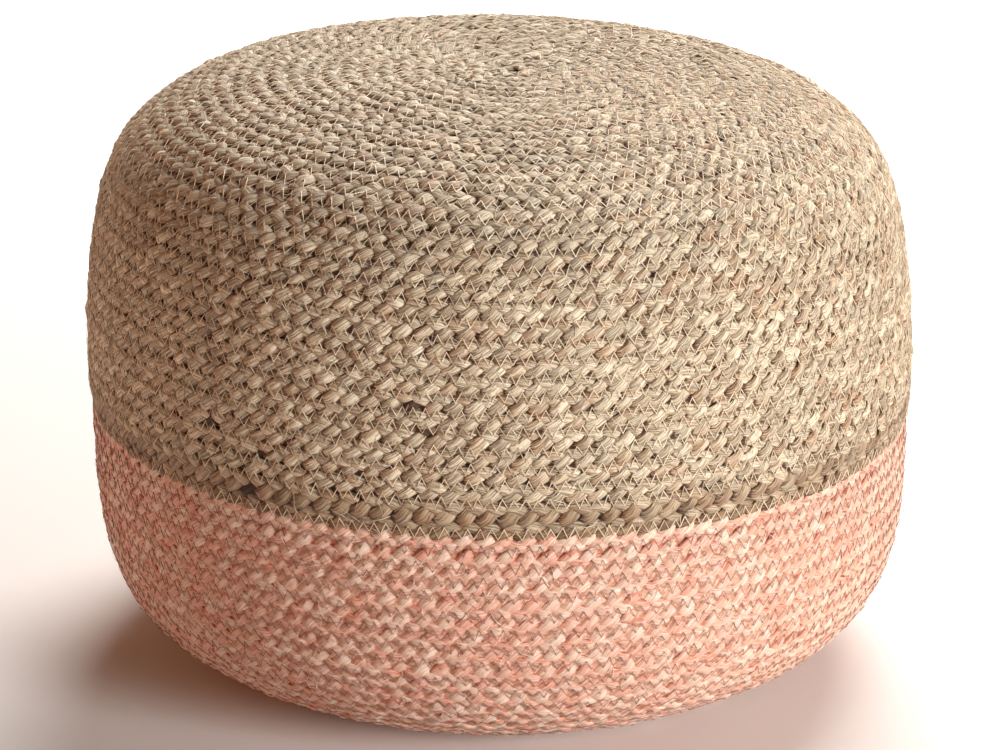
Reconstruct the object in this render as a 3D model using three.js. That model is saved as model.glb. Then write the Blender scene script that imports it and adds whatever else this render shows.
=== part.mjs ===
// Round braided jute pouf: two filled bowls of coiled braid, natural above and coral below, sewn rim to rim.
// Millimetres, +Z up. The origin is at the middle of the base, on the surface that the pouf stands on.

import * as THREE from "three";
import { mergeVertices } from "three/addons/utils/BufferGeometryUtils.js";

// Driving dimensions.
const DIAMETER = 500;
const HEIGHT = 366;
const SEAM_HEIGHT = 163; // where the two rims meet
const RIM_GAP = 0.3; // between the two filled bowls
const BASE_RADIUS = 150; // the flat that rests on the floor

// How far a hand-sewn, filled pouf strays from a true round.
const LEAN = -0.016; // sideways shift for each millimetre above mid-height
const CROWN_TILT = -0.012; // the crown stands a little higher towards -X
const OVAL = { share: 0.004, turns: 2, phase: 0.6 };
const LOBES = { share: 0.0025, turns: 3, phase: 2.1 };

// Facets.
const SEGMENTS = 72; // round the pouf
const RING_STEP = 12; // along the profile

// Outer sections from the centre outwards, as shares of the radius and of the height.
const NATURAL_SECTIONS = [
  { name: "crown centre", radius: 0, height: 1 },
  { name: "inner crown", radius: 0.24, height: 0.998 },
  { name: "mid crown", radius: 0.48, height: 0.987 },
  { name: "outer crown", radius: 0.608, height: 0.975 },
  { name: "crown edge", radius: 0.724, height: 0.955 },
  { name: "upper shoulder", radius: 0.832, height: 0.918 },
  { name: "shoulder", radius: 0.916, height: 0.858 },
  { name: "lower shoulder", radius: 0.961, height: 0.78 },
  { name: "upper wall", radius: 0.984, height: 0.697 },
  { name: "mid wall", radius: 0.995, height: 0.615 },
  { name: "widest row", radius: 1.002, height: 0.533 },
  { name: "last full row", radius: 1.001, height: 0.49 },
  { name: "tucked row", radius: 0.997, height: 0.463 },
  { name: "natural rim", radius: 0.985, height: (SEAM_HEIGHT + RIM_GAP / 2) / HEIGHT },
];
const CORAL_SECTIONS = [
  { name: "coral rim", radius: 0.983, height: (SEAM_HEIGHT - RIM_GAP / 2) / HEIGHT },
  { name: "first row", radius: 0.992, height: 0.425 },
  { name: "upper wall", radius: 0.997, height: 0.38 },
  { name: "lower wall", radius: 0.99, height: 0.283 },
  { name: "wall foot", radius: 0.972, height: 0.2 },
  { name: "upper turn", radius: 0.924, height: 0.124 },
  { name: "lower turn", radius: 0.836, height: 0.067 },
  { name: "turn under", radius: 0.728, height: 0.029 },
  { name: "under edge", radius: 0.644, height: 0.006 },
  { name: "base edge", radius: BASE_RADIUS / (DIAMETER / 2), height: 0 },
];

// Smooth outer profile through the sections, as points a ring step apart.
function outerProfile(sections) {
  const through = sections.map(
    ({ radius, height }) => new THREE.Vector2((radius * DIAMETER) / 2, height * HEIGHT),
  );
  const curve = new THREE.SplineCurve(through);
  curve.arcLengthDivisions = 400;
  const steps = Math.round(curve.getLength() / RING_STEP);
  const points = curve.getSpacedPoints(steps);
  points[0].copy(through[0]);
  points[steps].copy(through[through.length - 1]);
  return points;
}

// A round solid with the outline turned about Z; the outline runs upwards, from axis to axis.
function turned(outline) {
  const lathe = new THREE.LatheGeometry(outline, SEGMENTS);
  lathe.rotateX(Math.PI / 2);
  lathe.deleteAttribute("normal");
  lathe.deleteAttribute("uv");
  return mergeVertices(lathe, 1e-4);
}

// Presses a true round into the slightly oval, leaning form of the stuffed pouf.
function strayFromRound(geometry) {
  const position = geometry.getAttribute("position");
  for (let i = 0; i < position.count; i += 1) {
    const x = position.getX(i);
    const y = position.getY(i);
    const z = position.getZ(i);
    const turn = Math.atan2(y, x);
    const swell =
      1 +
      OVAL.share * Math.cos(OVAL.turns * (turn - OVAL.phase)) +
      LOBES.share * Math.cos(LOBES.turns * (turn - LOBES.phase));
    const up = z / HEIGHT;
    const shift = LEAN * (z - HEIGHT / 2);
    const lift = CROWN_TILT * x * up ** 6;
    position.setXYZ(i, x * swell + shift, y * swell, z + lift);
  }
  return geometry;
}

function filledBowl(name, outline, finish) {
  const geometry = strayFromRound(turned(outline));
  const mesh = new THREE.Mesh(geometry, new THREE.MeshStandardMaterial(finish));
  mesh.name = name;
  return mesh;
}

// The upper bowl is closed by a level face at its rim, the lower one by its rim face and the flat base.
function naturalBowl() {
  const outer = outerProfile(NATURAL_SECTIONS);
  const rimCentre = new THREE.Vector2(0, outer[outer.length - 1].y);
  return filledBowl("natural_bowl", [rimCentre, ...outer.reverse()], {
    color: 0xc2aa86,
    roughness: 0.92,
    metalness: 0,
  });
}

function coralBowl() {
  const outer = outerProfile(CORAL_SECTIONS);
  const rimCentre = new THREE.Vector2(0, outer[0].y);
  const baseCentre = new THREE.Vector2(0, 0);
  return filledBowl("coral_bowl", [baseCentre, ...outer.reverse(), rimCentre], {
    color: 0xdba585,
    roughness: 0.92,
    metalness: 0,
  });
}

// Moves the whole pouf so that the middle of its base box is the origin.
function centred(group) {
  const box = new THREE.Box3().setFromObject(group);
  const middle = box.getCenter(new THREE.Vector3());
  for (const mesh of group.children) mesh.geometry.translate(-middle.x, -middle.y, -box.min.z);
  return group;
}

const pouf = new THREE.Group();
pouf.name = "pouf";
pouf.add(naturalBowl(), coralBowl());

export default centred(pouf);
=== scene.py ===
"""Looks of a stuffed jute pouf.

It is coiled from three-strand braid, natural above and coral below, and sewn with zigzag thread.
"""

from __future__ import annotations

import logging
import math
from dataclasses import dataclass, field
from enum import Enum
from functools import cached_property

import bpy
import numpy as np
from mathutils import Matrix, Vector
from mathutils.bvhtree import BVHTree

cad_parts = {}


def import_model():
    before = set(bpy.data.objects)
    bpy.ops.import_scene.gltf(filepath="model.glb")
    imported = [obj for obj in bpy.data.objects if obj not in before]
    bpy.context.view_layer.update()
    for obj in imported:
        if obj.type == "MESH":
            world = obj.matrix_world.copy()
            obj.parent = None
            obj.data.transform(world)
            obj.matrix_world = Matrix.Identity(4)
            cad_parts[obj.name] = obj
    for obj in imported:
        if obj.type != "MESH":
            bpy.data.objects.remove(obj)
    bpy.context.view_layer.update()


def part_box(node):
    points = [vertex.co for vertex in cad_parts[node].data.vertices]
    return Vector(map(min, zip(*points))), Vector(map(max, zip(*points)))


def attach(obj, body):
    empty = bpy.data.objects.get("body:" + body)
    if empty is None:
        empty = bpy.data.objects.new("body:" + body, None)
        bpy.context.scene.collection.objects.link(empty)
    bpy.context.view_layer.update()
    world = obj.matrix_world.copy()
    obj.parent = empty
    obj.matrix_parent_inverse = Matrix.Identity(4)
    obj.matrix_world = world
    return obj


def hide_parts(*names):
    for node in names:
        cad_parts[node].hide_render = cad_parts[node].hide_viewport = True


LOG = logging.getLogger("pouf")
MM = 0.001
FULL_TURN = 2 * math.pi
TINY = 1e-12  # keeps a vector of no length from being divided by nothing
ROOT_BODY = "root"
STRAND_MAP = "StrandMap"
BAKE_MAP = "OFBake"
# What a strand's look comes from: noises drawn along it, values stored on its mesh, and its colours.
DRAWN = ("Bundles", "Hairs", "Splits", "Patch", "Bleach")
STORED = ("exposed", "inward", "lobe", "hue", "tone", "dusk", "slack")
SHADES = ("plain", "pale", "stain", "faded", "base", "crease", "shade")

Colour = tuple[float, float, float]


class Dye(Enum):
    """The two colours of braid, with the node each one's bowl is packed as."""

    NATURAL = "natural"
    CORAL = "coral"

    @property
    def node(self) -> str:
        """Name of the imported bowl."""
        return f"{self.value}_bowl"

    @property
    def slot(self) -> str:
        """The record's material slot."""
        return f"{self.value}_jute"


def smooth_step(x: np.ndarray) -> np.ndarray:
    """Eases from 0 to 1 as x goes from 0 to 1."""
    x = np.clip(x, 0.0, 1.0)
    return x * x * (3 - 2 * x)


def unit(vectors: np.ndarray) -> np.ndarray:
    """Vectors scaled to a length of 1."""
    return vectors / np.maximum(np.linalg.norm(vectors, axis=-1, keepdims=True), TINY)


def spun(out: np.ndarray, up: np.ndarray, azimuth: np.ndarray) -> np.ndarray:
    """Points or directions that reach out and up, turned round the axis."""
    return np.stack([out * np.cos(azimuth), out * np.sin(azimuth), up], axis=-1)


@dataclass(frozen=True)
class Ripple:
    """A smooth wandering value along the coil, the sum of a few sine waves.

    Args:
        amplitude: Size of the wander.
        waves: Waves for each unit of the position.
        seed: Chooses the phases.
    """

    amplitude: float
    waves: tuple[float, ...]
    seed: int

    def at(self, position: np.ndarray, strand: int = 0) -> np.ndarray:
        """The value at each position.

        Args:
            position: Where it is wanted.
            strand: Which strand it is for, because each wanders by itself.

        Returns:
            The values.
        """
        phases = np.random.default_rng([self.seed, strand]).uniform(0, FULL_TURN, len(self.waves))
        total = sum(np.sin(FULL_TURN * k * position + p) for k, p in zip(self.waves, phases))
        return self.amplitude * total / math.sqrt(len(self.waves))


@dataclass(frozen=True)
class StuffedForm:
    """The smooth outer form of the stuffed pouf, in metres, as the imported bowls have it.

    Args:
        width: Nominal width.
        height: Height of the crown.
        seam_height: Height at which the two bowls meet.
    """

    width: float
    height: float
    seam_height: float
    lean: float = -0.016  # sideways, for each unit of height
    crown_tilt: float = -0.012  # of the crown, up for each unit sideways
    crown_hold: int = 6  # power of the height, which keeps this tilt to the crown
    oval_share: float = 0.004  # of the radius
    oval_phase: float = 0.6  # in radians, as the next phase is
    lobe_share: float = 0.0025  # of the radius, for three shallow lobes round the plan
    lobe_phase: float = 2.1
    samples: int = 60  # of the outline between two of its sections
    plan_samples: tuple[int, int] = (145, 200)  # round it and down it, to find the plan's middle
    spiral_centre: tuple[float, float] = (9 * MM, -10 * MM)  # the coil's middle lies off the crown's
    spiral_settles: float = 150 * MM  # distance over which the rows come to run round the axis
    # Columns: share of the half width, share of the height; from the crown centre to the base centre.
    sections: tuple[tuple[float, float], ...] = (
        (0.0, 1.0),
        (0.24, 0.998),
        (0.48, 0.987),
        (0.608, 0.975),
        (0.724, 0.955),
        (0.832, 0.918),
        (0.916, 0.858),
        (0.961, 0.78),
        (0.984, 0.697),
        (0.996, 0.615),
        (1.001, 0.53),
        (1.0, 0.445),
        (0.997, 0.38),
        (0.99, 0.283),
        (0.972, 0.2),
        (0.924, 0.124),
        (0.836, 0.067),
        (0.728, 0.029),
        (0.644, 0.006),
        (0.58, 0.0),
        (0.3, 0.0),
        (0.0, 0.0),
    )

    @cached_property
    def outline(self) -> dict[str, np.ndarray]:
        """Fine samples of the outline, as named columns, with the distance from the crown centre."""
        knots = np.array(self.sections) * (self.width / 2, self.height)
        mirrored = knots[[1, -2]] * (-1, 1)
        knots = np.concatenate([mirrored[:1], knots, mirrored[1:]])
        t = np.linspace(0, 1, self.samples, endpoint=False)[:, None]
        # A curve through all the sections, whose slope at each is set by the two beside it.
        spans = []
        for a, b, c, d in zip(knots, knots[1:], knots[2:], knots[3:]):
            bend = (2 * a - 5 * b + 4 * c - d) * t**2 + (3 * b - a - 3 * c + d) * t**3
            spans.append(0.5 * (2 * b + (c - a) * t + bend))
        points = np.concatenate([*spans, knots[-2:-1]])
        along = unit(np.gradient(points, axis=0))
        steps = np.linalg.norm(np.diff(points, axis=0), axis=1)
        return {
            "distance": np.concatenate([[0.0], np.cumsum(steps)]),
            "radius": points[:, 0],
            "height": points[:, 1],
            "normal_out": -along[:, 1],
            "normal_up": along[:, 0],
        }

    @property
    def length(self) -> float:
        """Distance over the surface from the crown centre to the base centre."""
        return float(self.outline["distance"][-1])

    def look_up(self, column: str, distance: np.ndarray) -> np.ndarray:
        """One column of the outline at each distance from the crown centre."""
        return np.interp(distance, self.outline["distance"], self.outline[column])

    @cached_property
    def seam_distance(self) -> float:
        """Distance from the crown centre to the seam between the bowls."""
        upper = self.outline["height"] > self.seam_height
        return float(self.outline["distance"][upper][-1])

    def stray(self, points: np.ndarray) -> np.ndarray:
        """Presses a true round into the slightly oval, leaning form.

        Args:
            points: Points of the true round.

        Returns:
            The same points of the form.
        """
        x, y, z = points[..., 0], points[..., 1], points[..., 2]
        turn = np.arctan2(y, x)
        oval = self.oval_share * np.cos(2 * (turn - self.oval_phase))
        lobes = self.lobe_share * np.cos(3 * (turn - self.lobe_phase))
        swell = 1 + oval + lobes
        shift = self.lean * (z - self.height / 2)
        lift = self.crown_tilt * x * (np.maximum(z, 0) / self.height) ** self.crown_hold
        return np.stack([x * swell + shift, y * swell, z + lift], axis=-1)

    @cached_property
    def middle(self) -> np.ndarray:
        """Middle of the strayed form's plan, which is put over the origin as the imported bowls' is."""
        round_it, down_it = self.plan_samples
        azimuths, distances = np.linspace(0, FULL_TURN, round_it), np.linspace(0, self.length, down_it)
        azimuth, distance = np.meshgrid(azimuths, distances)
        out, up = self.look_up("radius", distance), self.look_up("height", distance)
        plan = self.stray(spun(out, up, azimuth))[..., :2].reshape(-1, 2)
        return np.append((plan.min(0) + plan.max(0)) / 2, 0.0)

    def from_spiral(self, distance: np.ndarray, azimuth: np.ndarray) -> tuple[np.ndarray, np.ndarray]:
        """Finds places measured from the coil's own middle in measures from the crown centre.

        Args:
            distance: Distance from the coil's middle, over the surface.
            azimuth: Angle round it.

        Returns:
            Distance and azimuth from the crown centre.
        """
        beyond = distance > self.length
        distance = np.where(beyond, 2 * self.length - distance, distance)
        azimuth = np.where(beyond, azimuth + math.pi, azimuth)
        hold = np.exp(-((distance / self.spiral_settles) ** 2))
        x = distance * np.cos(azimuth) + self.spiral_centre[0] * hold
        y = distance * np.sin(azimuth) + self.spiral_centre[1] * hold
        return np.hypot(x, y), np.arctan2(y, x)

    def surface(self, distance: np.ndarray, azimuth: np.ndarray, proud: np.ndarray) -> np.ndarray:
        """Points over the form.

        Args:
            distance: Distance from the coil's middle, over the surface.
            azimuth: Angle round it.
            proud: How far the points stand out of the surface.

        Returns:
            The points, in metres.
        """
        distance, azimuth = self.from_spiral(distance, azimuth)
        out = self.look_up("radius", distance) + proud * self.look_up("normal_out", distance)
        up = self.look_up("height", distance) + proud * self.look_up("normal_up", distance)
        return self.stray(spun(out, up, azimuth)) - self.middle

    def normal(self, distance: np.ndarray, azimuth: np.ndarray) -> np.ndarray:
        """Outward normals of the form.

        Args:
            distance: Distance from the coil's middle, over the surface.
            azimuth: Angle round it.

        Returns:
            The directions.
        """
        distance, azimuth = self.from_spiral(distance, azimuth)
        out, up = self.look_up("normal_out", distance), self.look_up("normal_up", distance)
        return spun(out, up, azimuth)


@dataclass(frozen=True)
class RowShape:
    """How one row near the seam differs from a plain one.

    Args:
        proud: How far it stands out.
        tilt: How far its lower edge is turned in, in radians.
        centre: Where the plait's middle lies between the row's edges, as a share.
        lap: How far its upper half reaches past the row's edge, behind the row before.
        spill: How far its lower half reaches past the row's edge, behind the next row.
        dusk: How grey its lower lobes are, and how far they are darkened with painted shade where they face
            down towards the seam.
    """

    proud: float = 0.0
    tilt: float = 0.0
    centre: float = 0.5
    lap: float = 0.0
    spill: float = 0.0
    dusk: float = 0.0


@dataclass(frozen=True)
class Hollow:
    """A lobe that has slackened and sunk, and is darkened with painted shade, so that a dark hollow shows
    in the braid.

    Args:
        row: The row that it lies in, counted from the coil's middle.
        bearing: Degrees round the axis from where the rows begin.
        lower: Whether it is one of the lobes of the row's lower half.
    """

    row: int
    bearing: float
    lower: bool = True

    @property
    def turns(self) -> float:
        """Where it lies along the coil."""
        return self.row + self.bearing / 360


@dataclass(frozen=True)
class Coil:
    """The spiral of rows, counted in turns from its middle on the crown and starting behind the pouf.

    Args:
        form: What the rows lie on.
    """

    form: StuffedForm
    row_width: float = 10.3 * MM
    thick_row: float = 14.0 * MM  # the last full natural row
    tucked_row: float = 4.6 * MM  # what shows of the natural row turned in at the seam
    start_azimuth: float = math.pi / 2
    joining_share: float = 1 / 6  # of a turn, over which one row's width becomes the next one's
    uneven_width: float = 0.13  # share by which a row may be wider or narrower
    width_seed: int = 21
    measures: int = 24000  # places at which the braid's length is measured
    least_radius: float = 3 * MM  # that a turn is measured at, by the coil's middle
    wander_settles: float = 4.0  # turns over which the edges' wander grows from nothing
    held_turns: float = 1.2  # on either side of the seam, where the edges wander less
    held_share: float = 0.3  # of the wander that is left there
    wander: Ripple = Ripple(0.45 * MM, (2.3, 3.7, 5.3, 8.9), seed=11)
    swell: Ripple = Ripple(0.28 * MM, (1.7, 4.1, 6.7), seed=12)
    plain: RowShape = RowShape()
    # Rows near the seam, counted from it, natural rows below zero.
    seam_rows: dict[int, RowShape] = field(
        default_factory=lambda: {
            -3: RowShape(proud=0.3 * MM, dusk=0.15),
            -2: RowShape(proud=0.3 * MM, tilt=0.05, centre=0.48, spill=1.4 * MM, dusk=0.75),
            -1: RowShape(proud=-0.7 * MM, tilt=0.02, centre=0.74, lap=2.0 * MM, spill=3.4 * MM, dusk=1.0),
            0: RowShape(proud=-1.2 * MM, tilt=-0.06),
            1: RowShape(proud=-0.7 * MM),
            2: RowShape(proud=-0.2 * MM),
        }
    )
    hollows: tuple[Hollow, ...] = (
        Hollow(30, 169),
        Hollow(32, 171, lower=False),
        Hollow(33, 141),
        Hollow(34, 147),
        Hollow(36, 146),
    )

    @cached_property
    def natural_rows(self) -> int:
        """Turns of natural braid: the plain rows, the thick one and the tucked one."""
        plain = self.form.seam_distance - self.row_width / 2 - self.thick_row - self.tucked_row
        return round(plain / self.row_width) + 2

    @cached_property
    def coral_rows(self) -> int:
        """Turns of coral braid, down to the base centre."""
        return round((self.form.length - self.form.seam_distance) / self.row_width)

    @property
    def rows(self) -> int:
        """Turns of braid in all."""
        return self.natural_rows + self.coral_rows

    @cached_property
    def row_edges(self) -> np.ndarray:
        """Inner edge of each row where its turn begins, with a spare row at each end."""
        uneven = np.random.default_rng(self.width_seed).uniform(-1, 1, self.rows + 2)
        widths = self.row_width * (1 + self.uneven_width * uneven)
        top = widths[: self.natural_rows]
        top[-2:] = self.thick_row, self.tucked_row
        top[:-2] *= (self.form.seam_distance - self.row_width / 2 - top[-2:].sum()) / top[:-2].sum()
        low = widths[self.natural_rows :]
        low *= (self.form.length - self.form.seam_distance) / low[: self.coral_rows].sum()
        edges = np.concatenate([[0.0], np.cumsum(np.concatenate([top, low]))])
        return np.concatenate([[-edges[1]], edges])

    def joining(self, turns: np.ndarray) -> np.ndarray:
        """0 over most of a turn, easing to 1 where the next row takes over."""
        return smooth_step((turns % 1 - 1 + self.joining_share) / self.joining_share)

    def edge(self, turns: np.ndarray, row_shift: int) -> np.ndarray:
        """Distance of a row's edge from the coil's middle.

        Args:
            turns: Where along the coil.
            row_shift: 0 for the row's inner edge and 1 for its outer one.

        Returns:
            The distances, over the surface.
        """
        row = np.floor(turns).astype(int) + row_shift + 1
        row = np.clip(row, 0, len(self.row_edges) - 2)
        ease = self.joining(turns)
        first = self.row_edges[2]
        plain = self.row_edges[row] * (1 - ease) + (self.row_edges[row + 1] - first) * ease
        shifted = turns + row_shift
        drift = self.wander.at(shifted) * np.clip(shifted / self.wander_settles, 0.0, 1.0)
        near_seam = np.abs(shifted - self.natural_rows - 0.5) < self.held_turns
        return plain + first * (turns % 1) + np.where(near_seam, self.held_share, 1.0) * drift

    def shape(self, turns: np.ndarray, name: str) -> np.ndarray:
        """One field of the rows' shapes, eased from row to row.

        Args:
            turns: Where it is wanted.
            name: The field.

        Returns:
            Its value at each place.
        """
        values = {row: getattr(shape, name) for row, shape in self.seam_rows.items()}
        other = getattr(self.plain, name)
        table = np.vectorize(lambda row: values.get(int(row), other), otypes=[float])
        row = np.floor(turns).astype(int) - self.natural_rows
        ease = self.joining(turns)
        return table(row) * (1 - ease) + table(row + 1) * ease

    def azimuth(self, turns: np.ndarray) -> np.ndarray:
        """Angle round the axis, rising with the turns."""
        return self.start_azimuth + FULL_TURN * turns

    @cached_property
    def measured(self) -> tuple[np.ndarray, np.ndarray]:
        """Turns and the length of braid up to each of them."""
        turns = np.linspace(-1, self.rows, self.measures)
        middle = (self.edge(turns, 0) + self.edge(turns, 1)) / 2
        radius = np.maximum(self.form.look_up("radius", middle), self.least_radius)
        step = FULL_TURN * (turns[1] - turns[0])
        return turns, np.concatenate([[0.0], np.cumsum(radius[1:] * step)])

    def turns_at(self, length: np.ndarray) -> np.ndarray:
        """Turns reached after a length of braid."""
        turns, lengths = self.measured
        return np.interp(length, lengths, turns)

    def length_at(self, turns: float) -> float:
        """Length of braid up to a number of turns."""
        return float(np.interp(turns, *self.measured))

    def slack(self, length: np.ndarray, side: np.ndarray, reach: float) -> np.ndarray:
        """Which lobes have slackened.

        Args:
            length: Length of braid up to each lobe's top.
            side: Where its top lies across the row, above zero in the lower half.
            reach: How far along the braid a hollow may lie from the lobe that it takes.

        Returns:
            1 for each slack lobe and 0 for the others.
        """
        near = [np.abs(length - self.length_at(hollow.turns)) < reach for hollow in self.hollows]
        beside = [(side > 0) == hollow.lower for hollow in self.hollows]
        return (np.array(near) & np.array(beside)).any(axis=0).astype(float)


def quad_corners(along: tuple[np.ndarray, ...], across: tuple[np.ndarray, ...]) -> np.ndarray:
    """Places of the corners of quads in a map.

    Args:
        along: Where each quad starts and ends along the map.
        across: Where it starts and ends across it.

    Returns:
        One row for each corner, four to a quad.
    """
    order = ((0, 0), (0, 1), (1, 1), (1, 0))
    corners = [np.stack((along[i], across[j]), -1) for i, j in order]
    return np.stack(corners, -2).reshape(-1, 2)


@dataclass
class TubeMesh:
    """Closed tubes gathered from arrays until they become one joined mesh."""

    points: list[np.ndarray] = field(default_factory=list)
    quads: list[np.ndarray] = field(default_factory=list)
    tris: list[np.ndarray] = field(default_factory=list)
    strand_map: list[np.ndarray] = field(default_factory=list)
    bake_spans: list[np.ndarray] = field(default_factory=list)
    values: dict[str, list[np.ndarray]] = field(default_factory=dict)
    count: int = 0  # of the points so far
    laid_out: float = 0.0  # length of the tubes so far
    strip_margin: float = 0.08  # of a strip's height in the bake map, kept free at either side
    strip_slack: float = 1.0001  # keeps the last quad in the last strip

    def add_tube(
        self,
        rings: np.ndarray,
        along: np.ndarray,
        around: np.ndarray,
        values: dict[str, np.ndarray],
    ) -> None:
        """Adds a closed tube.

        Args:
            rings: Points of each ring, anticlockwise when the tube runs towards the viewer.
            along: Distance of each ring along the tube.
            around: Distance of each ring point round the tube, with one more than the points.
            values: Named values of each ring point.
        """
        count, sides = rings.shape[:2]
        index = self.count + np.arange(count * sides).reshape(count, sides)
        beside = np.roll(index, -1, axis=1)
        quads = np.stack([index[:-1], beside[:-1], beside[1:], index[1:]], axis=-1)
        self.quads.append(quads.reshape(-1, 4))
        shape = (count - 1, sides)
        lengthways = [np.broadcast_to(ends, shape) for ends in (along[:-1, None], along[1:, None])]
        crossways = [np.broadcast_to(ends, shape) for ends in (around[:-1], around[1:])]
        self.strand_map.append(quad_corners(lengthways, crossways))
        steps = np.abs(np.diff(along))
        start = self.laid_out + np.concatenate([[0.0], np.cumsum(steps)])
        self.laid_out = start[-1] + steps.mean()
        spans = np.stack([start[:-1], start[1:]], -1)
        self.bake_spans.append(np.repeat(spans, sides, axis=0))
        fan = np.arange(1, sides - 1)
        first = np.stack([np.full(sides - 2, index[0, 0]), index[0, fan + 1], index[0, fan]], -1)
        last = np.stack([np.full(sides - 2, index[-1, 0]), index[-1, fan], index[-1, fan + 1]], -1)
        self.tris.append(np.concatenate([first, last]))
        self.points.append(rings.reshape(-1, 3))
        for name, value in values.items():
            spread = np.broadcast_to(value, (count, sides)).reshape(-1)
            self.values.setdefault(name, []).append(spread)
        self.count += count * sides

    def bake_layout(self, sides: int, girth: float) -> np.ndarray:
        """Lays every tube's skin out in strips that fill the unit square, for a bake map.

        Args:
            sides: Quads round a tube.
            girth: Distance round a tube.

        Returns:
            The place of each quad corner.
        """
        spans = np.concatenate(self.bake_spans)
        strips = max(1, math.ceil(math.sqrt(self.laid_out / girth)))
        strip_length = self.laid_out / strips * self.strip_slack
        strip = np.floor(spans[:, 0] / strip_length)
        start = (spans[:, 0] - strip * strip_length) / strip_length
        end = start + (spans[:, 1] - spans[:, 0]) / strip_length
        widest = max(1.0, float(end.max()))
        side = np.tile(np.arange(sides), len(spans) // sides)
        inset = self.strip_margin
        low = (strip + inset + (1 - 2 * inset) * side / sides) / strips
        high = (strip + inset + (1 - 2 * inset) * (side + 1) / sides) / strips
        return quad_corners((start / widest, end / widest), (low, high))

    def build(self, name: str, sides: int, girth: float) -> bpy.types.Object:
        """Makes the mesh object, smooth shaded, with its place in its mesh.

        Args:
            name: The piece's name.
            sides: Quads round a tube.
            girth: Distance round a tube.

        Returns:
            The piece.
        """
        mesh = bpy.data.meshes.new(name)
        points = np.concatenate(self.points).astype(np.float32)
        quads, tris = np.concatenate(self.quads), np.concatenate(self.tris)
        corners = np.concatenate([quads.ravel(), tris.ravel()]).astype(np.int32)
        sizes = np.concatenate([np.full(len(quads), 4), np.full(len(tris), 3)])
        starts = np.concatenate([[0], np.cumsum(sizes)[:-1]]).astype(np.int32)
        mesh.vertices.add(len(points))
        mesh.vertices.foreach_set("co", points.ravel())
        mesh.loops.add(len(corners))
        mesh.loops.foreach_set("vertex_index", corners)
        mesh.polygons.add(len(sizes))
        mesh.polygons.foreach_set("loop_start", starts)
        mesh.polygons.foreach_set("use_smooth", np.ones(len(sizes), dtype=bool))
        ends = np.zeros((3 * len(tris), 2))
        maps = {STRAND_MAP: np.concatenate(self.strand_map), BAKE_MAP: self.bake_layout(sides, girth)}
        for key, quad_map in maps.items():
            uv = np.concatenate([quad_map, ends]).astype(np.float32)
            mesh.uv_layers.new(name=key).data.foreach_set("uv", uv.ravel())
        for key, parts in self.values.items():
            data = mesh.attributes.new(key, "FLOAT", "POINT").data
            data.foreach_set("value", np.concatenate(parts).astype(np.float32))
        mesh.update(calc_edges=True)
        mesh.validate()
        piece = bpy.data.objects.new(name, mesh)
        bpy.context.scene.collection.objects.link(piece)
        return piece


def above_floor(points: np.ndarray, soft: float = 0.5 * MM) -> np.ndarray:
    """Presses points flat where they would sink into the floor.

    Args:
        points: The points, which are changed.
        soft: Height below which they are pressed.

    Returns:
        The same points.
    """
    low = points[..., 2] < soft
    pressed = soft * np.exp(np.minimum(points[..., 2] - soft, 0.0) / soft)
    points[..., 2] = np.where(low, pressed, points[..., 2])
    return points


@dataclass(frozen=True)
class BraidStretch:
    """A stretch of the coil that becomes one piece.

    Args:
        name: The piece's name.
        dye: The colour of its braid.
        first: Turns where it starts.
        last: Turns where it ends.
    """

    name: str
    dye: Dye
    first: float
    last: float


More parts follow.
